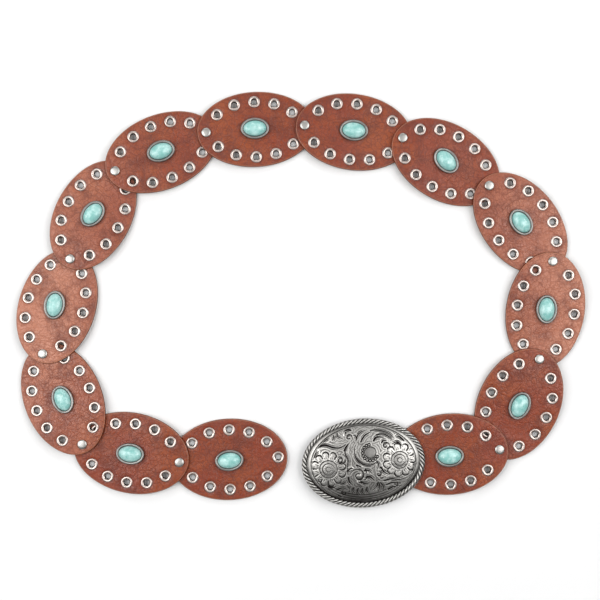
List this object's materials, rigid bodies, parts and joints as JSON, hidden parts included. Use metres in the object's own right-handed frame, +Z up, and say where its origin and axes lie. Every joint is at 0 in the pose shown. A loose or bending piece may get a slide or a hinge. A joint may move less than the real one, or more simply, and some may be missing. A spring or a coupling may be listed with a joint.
{
  "type": "western belt",
  "caption": "Western belt of riveted leather ovals with eyelets and turquoise settings, with a domed oval hook buckle, laid open in a C.",
  "frame": {"origin": "under the middle of the laid out belt's box, on the surface that it lies on", "axes": "+X along the belt's longer side, with the buckle on that side of the opening; +Y from the opening to the far side of the loop; +Z up, out of the belt's face"},
  "size_m": [0.4278, 0.3126, 0.0123],
  "materials": {
    "leather": "pebbled reddish brown hide, satin, with a burnished edge",
    "bright_silver": "bright nickel, smooth",
    "antique_silver": "antiqued cast silver, dark in the recesses",
    "turquoise": "polished blue-green stone with paler marbling"
  },
  "bodies": {
    "root": {"panel_01": "leather", "panel_02": "leather", "panel_03": "leather", "panel_04": "leather", "panel_05": "leather", "panel_06": "leather", "panel_07": "leather", "panel_08": "leather", "panel_09": "leather", "panel_10": "leather", "panel_11": "leather", "panel_12": "leather", "panel_13": "leather", "bezel_01": "antique_silver", "bezel_02": "antique_silver", "bezel_03": "antique_silver", "bezel_04": "antique_silver", "bezel_05": "antique_silver", "bezel_06": "antique_silver", "bezel_07": "antique_silver", "bezel_08": "antique_silver", "bezel_09": "antique_silver", "bezel_10": "antique_silver", "bezel_11": "antique_silver", "bezel_12": "antique_silver", "bezel_13": "antique_silver", "stone_01": "turquoise", "stone_02": "turquoise", "stone_03": "turquoise", "stone_04": "turquoise", "stone_05": "turquoise", "stone_06": "turquoise", "stone_07": "turquoise", "stone_08": "turquoise", "stone_09": "turquoise", "stone_10": "turquoise", "stone_11": "turquoise", "stone_12": "turquoise", "stone_13": "turquoise", "rivet_01": "bright_silver", "rivet_02": "bright_silver", "rivet_03": "bright_silver", "rivet_04": "bright_silver", "rivet_05": "bright_silver", "rivet_06": "bright_silver", "rivet_07": "bright_silver", "rivet_08": "bright_silver", "rivet_09": "bright_silver", "rivet_10": "bright_silver", "rivet_11": "bright_silver", "rivet_12": "bright_silver", "buckle_rivet": "bright_silver", "buckle": "antique_silver"}
  },
  "joints": []
}
